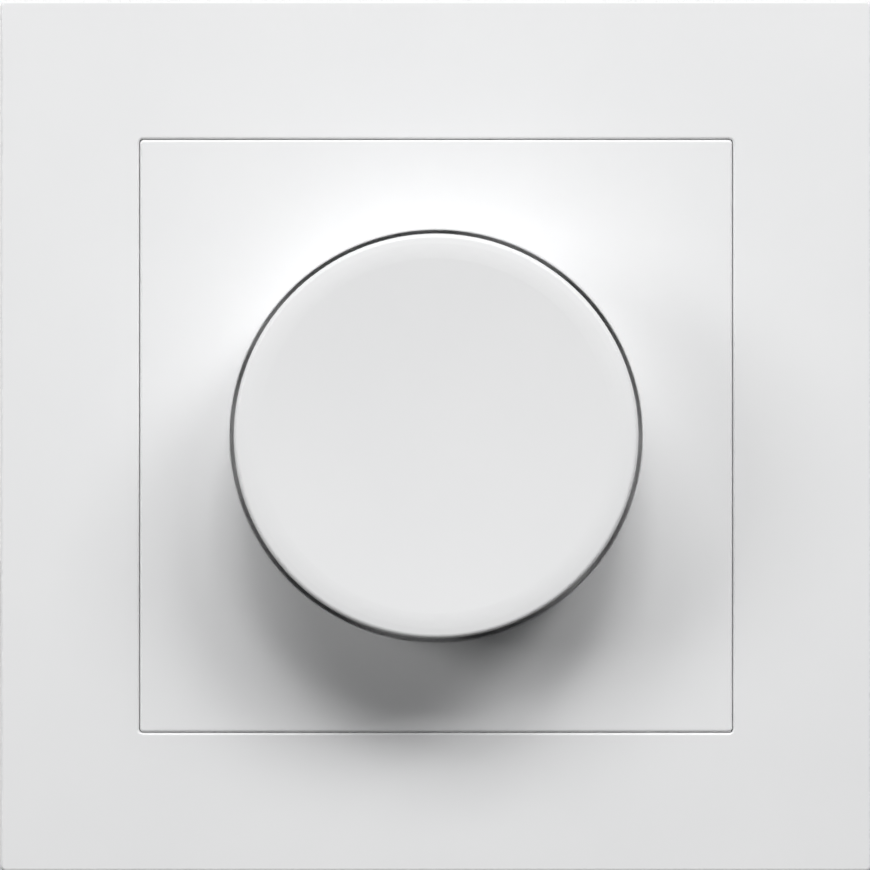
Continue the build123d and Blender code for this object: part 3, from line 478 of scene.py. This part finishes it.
spring_steel = patterned(
    "spring_steel",
    plated_sheet,
    {"Lines": 2600.0, "Stretch": 0.4, "Cloud": 300.0},
    colours=((0.30, 0.30, 0.32), (0.42, 0.42, 0.43)),
    gloss=(0.22, 0.34),
    bump_m=4e-6,
    metal=1.0,
)
dress(spring_steel, "hub_clip", "shaft_clip", "return_spring")

# Small plastic mouldings: rotor, plunger, trimmer
# Undyed plastic for the rotor, the plunger and the dial, and blue for the trimmer's body.
natural_plastic = patterned(
    "natural_plastic",
    moulded_skin,
    {"Grain": 5000.0, "Wave": 900.0, "Grain Share": 0.5},
    colours=((0.52, 0.47, 0.37), (0.60, 0.55, 0.45)),
    gloss=(0.38, 0.5),
    bump_m=6e-6,
)
dress(natural_plastic, "wiper_rotor", "switch_plunger", "trimmer_dial")
blue_plastic = patterned(
    "blue_plastic",
    moulded_skin,
    {"Grain": 5000.0, "Wave": 900.0, "Grain Share": 0.5},
    colours=((0.008, 0.035, 0.23), (0.014, 0.05, 0.30)),
    gloss=(0.34, 0.46),
    bump_m=6e-6,
)
dress(blue_plastic, "trimmer_body")

# Circuit board and resistor track
# Green mask over glass cloth, and a carbon film on brown laminate: the cloth's weave shows as a
# faint square relief.
weave_skin, weave_in, weave_out = pattern_group("weave_skin", [("Threads", 1400.0)])
weave_place = add_node(weave_skin, "ShaderNodeTexCoord")
weave_across, weave_up = (
    add_node(
        weave_skin,
        "ShaderNodeTexWave",
        {
            "Vector": weave_place.outputs["Object"],
            "Scale": weave_in.outputs["Threads"],
            "Distortion": 0.3,
        },
        bands_direction=direction,
    )
    for direction in ("X", "Z")
)
weave_both = add_node(
    weave_skin,
    "ShaderNodeMath",
    {0: weave_across.outputs["Fac"], 1: weave_up.outputs["Fac"]},
    operation="MULTIPLY",
)
weave_cloud = add_node(
    weave_skin,
    "ShaderNodeTexNoise",
    {"Vector": weave_place.outputs["Object"], "Scale": 220.0, "Detail": 3.0},
)
weave_skin.links.new(weave_both.outputs[0], weave_out.inputs["Height"])
weave_skin.links.new(weave_cloud.outputs["Fac"], weave_out.inputs["Mottle"])
board_laminate = patterned(
    "board_laminate",
    weave_skin,
    {},
    colours=((0.008, 0.075, 0.022), (0.014, 0.105, 0.034)),
    gloss=(0.26, 0.38),
    bump_m=1e-5,
)
dress(board_laminate, "circuit_board")
track_laminate = patterned(
    "track_laminate",
    weave_skin,
    {"Threads": 2400.0},
    colours=((0.018, 0.011, 0.007), (0.03, 0.02, 0.013)),
    gloss=(0.42, 0.55),
    bump_m=6e-6,
)
dress(track_laminate, "resistor_track")

# Parts on the board
# Sintered ferrite ring with enamelled copper wire, a boxed film capacitor, a sleeved can, and
# black epoxy bodies with a fine matt grain.
ferrite = patterned(
    "ferrite",
    filled_skin,
    {"Grain": 3600.0, "Speck": 7000.0},
    colours=((0.028, 0.028, 0.030), (0.050, 0.050, 0.054)),
    gloss=(0.5, 0.65),
    bump_m=2e-5,
)
dress(ferrite, "choke_core")
copper_wire = patterned(
    "copper_wire",
    plated_sheet,
    {"Lines": 1800.0, "Stretch": 1.0, "Cloud": 400.0},
    colours=((0.44, 0.13, 0.045), (0.58, 0.21, 0.08)),
    gloss=(0.18, 0.28),
    bump_m=4e-6,
    metal=1.0,
)
dress(copper_wire, "choke_winding")
capacitor_box = patterned(
    "capacitor_box",
    moulded_skin,
    {"Grain": 3800.0, "Wave": 700.0, "Grain Share": 0.6},
    colours=((0.52, 0.30, 0.02), (0.62, 0.38, 0.035)),
    gloss=(0.3, 0.42),
    bump_m=1e-5,
)
dress(capacitor_box, "film_capacitor")
capacitor_sleeve = patterned(
    "capacitor_sleeve",
    moulded_skin,
    {"Grain": 4800.0, "Wave": 500.0, "Grain Share": 0.2},
    colours=((0.010, 0.014, 0.070), (0.016, 0.021, 0.095)),
    gloss=(0.2, 0.3),
    bump_m=8e-6,
)
dress(capacitor_sleeve, "smoothing_capacitor")
black_epoxy = patterned(
    "black_epoxy",
    filled_skin,
    {"Grain": 5200.0, "Speck": 9000.0},
    colours=((0.008, 0.008, 0.009), (0.018, 0.018, 0.020)),
    gloss=(0.5, 0.62),
    bump_m=1.2e-5,
)
dress(black_epoxy, "control_chip", "power_transistors")
fuse_glass = patterned(
    "fuse_glass",
    moulded_skin,
    {"Grain": 900.0, "Wave": 300.0, "Grain Share": 0.2},
    colours=((0.93, 0.97, 0.96), (0.96, 0.985, 0.98)),
    gloss=(0.02, 0.05),
    bump_m=1e-6,
)
glass_shader = fuse_glass.node_tree.nodes["Principled BSDF"]
glass_shader.inputs["Transmission Weight"].default_value = 1.0
glass_shader.inputs["IOR"].default_value = 1.5
dress(fuse_glass, "fuse_tube")

# Chassis screws
# Four short screws hold the support ring and the heat plate on the cup. Zinc-plated steel, cold
# headed and slotted, with rolled threads.
slot_size = {"slot_w": 0.0007, "slot_d": 0.0008}
screw_crease = math.radians(35)
weld_m = 1e-7


def screw_surface(head_r, head_h, crown, shank_r, length, pitch, slot_w, slot_d, rows=10, across=7):
    """A slotted screw as one closed surface: its axis on Z, the head's seat at 0, the head up.

    The crown is laid in rows along the slot, each from rim to rim, so the slot's walls are
    straight. Its height is the head's, less a parabola of the distance from the axis, less the
    slot's depth between its walls. The rim's points then run down the side, under the head and
    along the shank, where the radius is the shank's less half the pitch times a triangle wave
    of height over pitch minus angle over a turn. The thread fades in over two pitches under the
    head, and the end tapers to a share of the shank's radius.
    """
    rings_per_turn, lower_rim, tip_share, first_ring = 6, 0.98, 0.4, 0.01
    half = slot_w / 2
    upper = half + (head_r - half) * np.sin(np.linspace(0, math.pi / 2, rows))
    ys = np.concatenate([-upper[::-1], [-half, half], upper])
    deep = np.concatenate([np.zeros(rows), [1, 1], np.zeros(rows)])
    x = np.sqrt(np.clip(head_r**2 - ys**2, 0, None))[:, None] * np.linspace(-1, 1, across)
    y = np.repeat(ys[:, None], across, 1)
    z = head_h - crown * (x**2 + y**2) / head_r**2 - slot_d * deep[:, None]
    top = np.stack([x, y, z], -1).reshape(-1, 3)
    row, column = np.meshgrid(np.arange(len(ys) - 1), np.arange(across - 1), indexing="ij")
    corner = (row * across + column).ravel()
    crown_faces = np.stack([corner, corner + 1, corner + across + 1, corner + across], -1)
    line = np.arange(len(ys))
    rim = np.concatenate([line * across + across - 1, line[::-1] * across])
    angle = np.arctan2(top[rim, 1], top[rim, 0])
    steps = int(length / pitch * rings_per_turn)
    along = np.linspace(first_ring, 1, steps) * length
    down = np.concatenate([[(head_h - crown) / 2, 0, 0], -along])
    out = np.concatenate([[head_r, head_r * lower_rim], np.full(steps + 1, shank_r)])
    cut = np.clip(-down / (pitch * 2), 0, 1)
    tip = np.clip((length + down) / (shank_r * (1 - tip_share)) + tip_share, tip_share, 1)
    wave = np.abs(2 * ((down[:, None] / pitch - angle / (2 * math.pi)) % 1.0) - 1)
    radius = (out[:, None] - 0.5 * pitch * wave * cut[:, None]) * np.where(cut > 0, tip, 1)[:, None]
    level = np.repeat(down[:, None], len(angle), 1)
    ring = np.stack([radius * np.cos(angle), radius * np.sin(angle), level], -1).reshape(-1, 3)
    count, base = len(angle), len(top)
    spot = np.arange(count)
    after = (spot + 1) % count
    under_rim = np.stack([rim[spot], base + spot, base + after, rim[after]], -1)
    ring_start = base + np.arange(len(down) - 1)[:, None] * count
    next_ring = ring_start + count
    walls = np.stack(
        [ring_start + spot, next_ring + spot, next_ring + after, ring_start + after], -1
    ).reshape(-1, 4)
    last = base + (len(down) - 1) * count
    tip_faces = np.stack([last + after, last + spot, np.full(count, base + len(ring))], -1)
    points = np.concatenate([top, ring, [[0, 0, -length]]])
    return points, np.concatenate([crown_faces, under_rim, walls]), tip_faces


def turned(points, turn):
    """A screw's x and y, turned on its axis by an angle in radians."""
    cosine, sine = math.cos(turn), math.sin(turn)
    x, y = points[:, 0], points[:, 1]
    return x * cosine - y * sine, x * sine + y * cosine


def facing_room(points, seat, turn):
    """Turns a screw on its axis, its head to the room, and moves its seat to a point."""
    x, y = turned(points, turn)
    return np.stack([seat[0] - y, seat[1] - points[:, 2], seat[2] + x], -1)


def screw_piece(name, surface, places, body, node):
    """Joins a screw's copies at their places into one smooth piece that stands for a node."""
    points, quads, tips = surface
    mesh = bpy.data.meshes.new(name)
    faces = [
        face
        for kind in (quads, tips)
        for k in range(len(places))
        for face in (kind + len(points) * k).tolist()
    ]
    mesh.from_pydata(np.concatenate(places).tolist(), [], faces)
    joined = bmesh.new()
    joined.from_mesh(mesh)
    bmesh.ops.remove_doubles(joined, verts=joined.verts, dist=weld_m)
    joined.to_mesh(mesh)
    joined.free()
    mesh.shade_smooth()
    mesh.set_sharp_from_angle(angle=screw_crease)
    mesh.materials.append(zinc_steel)
    made = bpy.data.objects.new(name, mesh)
    scene.collection.objects.link(made)
    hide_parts(node)
    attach(made, body)


chassis_low, chassis_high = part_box("chassis_screws")
chassis_head_r, chassis_head_h = 0.0022, 0.0015
chassis_seat_y = chassis_low[1] + chassis_head_h
chassis_screw = screw_surface(
    head_r=chassis_head_r,
    head_h=chassis_head_h,
    crown=0.0005,
    shank_r=0.0012,
    length=chassis_high[1] - chassis_seat_y,
    pitch=0.0006,
    **slot_size,
)
chassis_left, chassis_right = chassis_low[0] + chassis_head_r, chassis_high[0] - chassis_head_r
chassis_bottom, chassis_top = chassis_low[2] + chassis_head_r, chassis_high[2] - chassis_head_r
chassis_places = [
    facing_room(chassis_screw[0], (x, chassis_seat_y, z), turn)
    for x, z, turn in (
        (chassis_left, chassis_bottom, 0.4),
        (chassis_left, chassis_top, 1.3),
        (chassis_right, chassis_bottom, 2.1),
        (chassis_right, chassis_top, 0.9),
    )
]
screw_piece("chassis_screws_turned", chassis_screw, chassis_places, "insert", "chassis_screws")

# Claw screws
# A longer slotted screw on each side, zinc-plated like the chassis screws. Its head bears on the
# support ring, and it pulls the nut that spreads the claw.
claw_head_h = 0.0017
for side_name, turn in (("left", 0.15), ("right", 1.1)):
    claw_low, claw_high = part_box(f"claw_screw_{side_name}")
    claw_seat_y = claw_low[1] + claw_head_h
    claw_screw = screw_surface(
        head_r=(claw_high[0] - claw_low[0]) / 2,
        head_h=claw_head_h,
        crown=0.0005,
        shank_r=0.0015,
        length=claw_high[1] - claw_seat_y,
        pitch=0.0005,
        **slot_size,
    )
    claw_seat = ((claw_low[0] + claw_high[0]) / 2, claw_seat_y, (claw_low[2] + claw_high[2]) / 2)
    screw_piece(
        f"claw_screw_{side_name}_turned",
        claw_screw,
        [facing_room(claw_screw[0], claw_seat, turn)],
        f"screw_{side_name}",
        f"claw_screw_{side_name}",
    )

# Terminal screws
# Three short slotted screws of plated steel, heads down in the cup's round holes. Turning one
# pulls its lift cage and clamps the wire.
wire_head_h = 0.00135


def facing_down(points, seat, turn):
    """Turns a screw on its axis, its head down, and moves its seat to a point."""
    x, y = turned(points, turn)
    return np.stack([seat[0] + x, seat[1] - y, seat[2] - points[:, 2]], -1)


for number, turn in ((1, 0.2), (2, 0.9), (3, 2.6)):
    wire_low, wire_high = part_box(f"terminal_screw_{number}")
    wire_seat_z = wire_low[2] + wire_head_h
    wire_screw = screw_surface(
        head_r=(wire_high[0] - wire_low[0]) / 2,
        head_h=wire_head_h,
        crown=0.0003,
        shank_r=0.0015,
        length=wire_high[2] - wire_seat_z,
        pitch=0.0005,
        **slot_size,
    )
    wire_seat = ((wire_low[0] + wire_high[0]) / 2, (wire_low[1] + wire_high[1]) / 2, wire_seat_z)
    screw_piece(
        f"terminal_screw_{number}_turned",
        wire_screw,
        [facing_down(wire_screw[0], wire_seat, turn)],
        f"cage_screw_{number}",
        f"terminal_screw_{number}",
    )

# Return spring
# A cylindrical coil of hard steel wire between the switch's floor and its plunger, which presses
# it together as the knob is pushed. Its ends are cut off square, as the wire comes off the coiler.


def coil_surface(turns, radius, wire_r, length, around=12, per_turn=36):
    """A round wire on a helix as one closed tube: its axis on Z, from 0 to length, ends capped.

    The wire's centre runs at the radius, at a height that grows evenly with the angle from the
    wire's radius to the length less that radius. Each ring lies square to the helix: its points
    are the centre plus the wire's radius times the cosine of an angle outwards, and its sine
    along the direction that is square to the helix and to the outward line.
    """
    angle = np.linspace(0, 2 * math.pi * turns, turns * per_turn + 1)
    rise = (length - 2 * wire_r) / angle[-1]
    outward = np.stack([np.cos(angle), np.sin(angle), 0 * angle], -1)
    along = np.stack([-radius * np.sin(angle), radius * np.cos(angle), 0 * angle + rise], -1)
    along /= np.linalg.norm(along, axis=1)[:, None]
    beside = np.cross(along, outward)
    centre = radius * outward + np.stack([0 * angle, 0 * angle, wire_r + rise * angle], -1)
    spin = np.linspace(0, 2 * math.pi, around, endpoint=False)[None, :, None]
    across = np.cos(spin) * outward[:, None] + np.sin(spin) * beside[:, None]
    rings = centre[:, None] + wire_r * across
    start = np.arange(len(angle) - 1)[:, None] * around
    spot = np.arange(around)
    after = (spot + 1) % around
    walls = np.stack(
        [start + spot, start + after, start + around + after, start + around + spot], -1
    ).reshape(-1, 4)
    last = around * (len(angle) - 1)
    ends = [spot[::-1].tolist(), (last + spot).tolist()]
    return rings.reshape(-1, 3), walls.tolist() + ends


spring_low, spring_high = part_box("return_spring")
spring_back_y = spring_high[1]
spring_length = spring_back_y - spring_low[1]
coil_points, coil_faces = coil_surface(turns=4, radius=0.0021, wire_r=0.0002, length=spring_length)
coil_x, coil_z, coil_rise = coil_points.T
spring_points = np.stack([coil_x, spring_back_y - coil_rise, coil_z], -1)
spring_mesh = bpy.data.meshes.new("return_spring_coil")
spring_mesh.from_pydata(spring_points.tolist(), [], coil_faces)
spring_mesh.shade_smooth()
spring_mesh.set_sharp_from_angle(angle=math.radians(50))
spring_mesh.materials.append(spring_steel)
spring_coil = bpy.data.objects.new("return_spring_coil", spring_mesh)
scene.collection.objects.link(spring_coil)
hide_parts("return_spring")
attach(spring_coil, "insert")
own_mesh(spring_coil)
